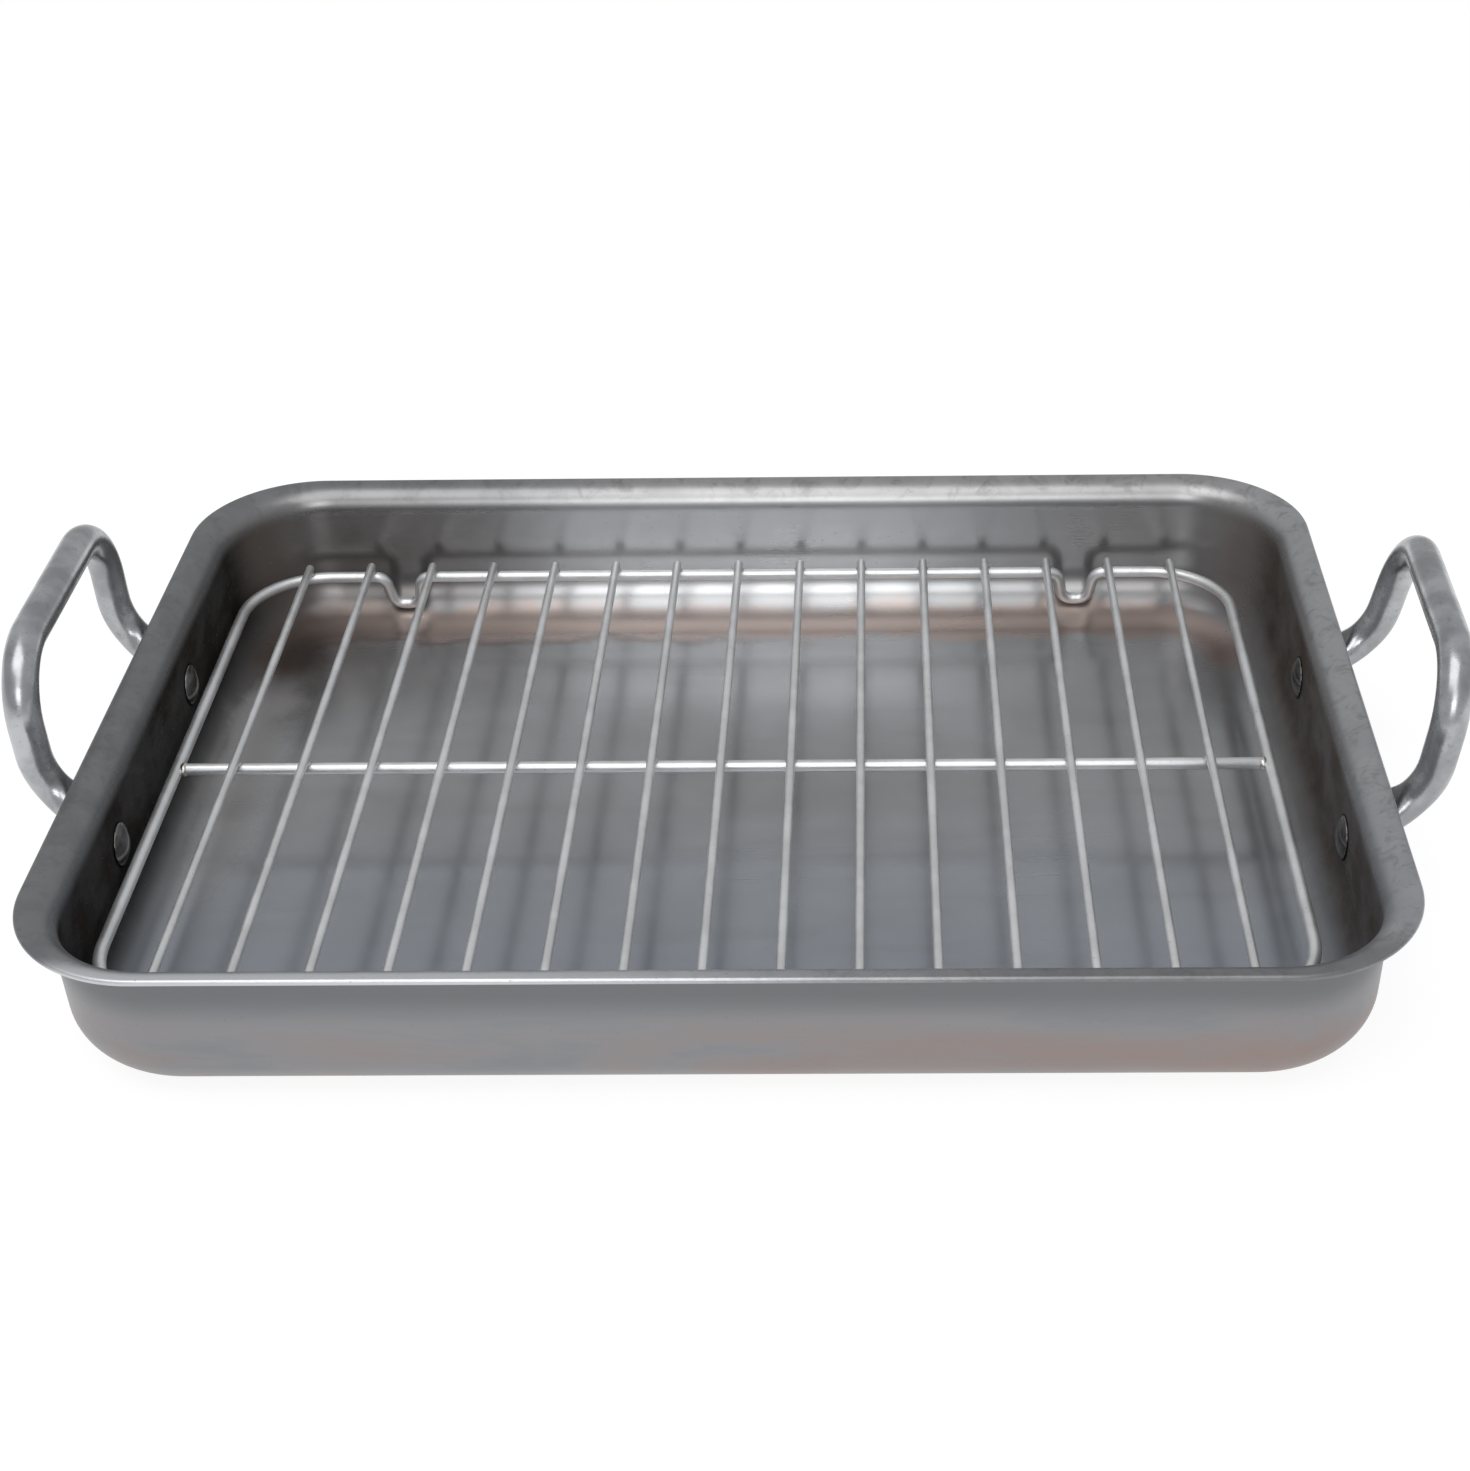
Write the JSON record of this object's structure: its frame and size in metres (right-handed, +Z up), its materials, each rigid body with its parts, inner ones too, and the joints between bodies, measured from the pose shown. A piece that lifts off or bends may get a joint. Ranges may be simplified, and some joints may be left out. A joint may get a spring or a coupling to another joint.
{
  "type": "roasting pan with rack",
  "caption": "Rectangular sheet-steel roasting pan with a turned-out lip, riveted loop handles on its short ends and a lift-out welded wire rack on bent feet.",
  "frame": {"origin": "centre of the pan's flat underside, midway between the lip's edges", "axes": "+X along the pan's length, towards the right handle; +Y to the rear, away from the viewer of the picture; +Z up"},
  "size_m": [0.4465, 0.3, 0.093],
  "materials": {
    "pan_steel": "bare sheet steel, satin and used, mottled, with a faint brown heat tint along the rear of the floor",
    "handle_steel": "satin bright bent rod with small dents and cloudy bands",
    "rivet_steel": "dull domed steel heads, darkened by use",
    "rack_wire": "bright plated wire with small weld marks at the crossings"
  },
  "bodies": {
    "pan": {"pan_body": "pan_steel", "handle_left": "handle_steel", "handle_right": "handle_steel", "rivet_left_front": "rivet_steel", "rivet_left_rear": "rivet_steel", "rivet_right_front": "rivet_steel", "rivet_right_rear": "rivet_steel"},
    "rack": {"rack_frame": "rack_wire", "rack_centre_wire": "rack_wire", "rack_cross_wire_01": "rack_wire", "rack_cross_wire_02": "rack_wire", "rack_cross_wire_03": "rack_wire", "rack_cross_wire_04": "rack_wire", "rack_cross_wire_05": "rack_wire", "rack_cross_wire_06": "rack_wire", "rack_cross_wire_07": "rack_wire", "rack_cross_wire_08": "rack_wire", "rack_cross_wire_09": "rack_wire", "rack_cross_wire_10": "rack_wire", "rack_cross_wire_11": "rack_wire", "rack_cross_wire_12": "rack_wire", "rack_cross_wire_13": "rack_wire", "rack_cross_wire_14": "rack_wire", "rack_cross_wire_15": "rack_wire"}
  },
  "joints": [
    {"name": "rack_lift", "type": "slide", "parent": "pan", "child": "rack", "axis": [0, 0, 1], "range_m": [0, 0.1]}
  ]
}
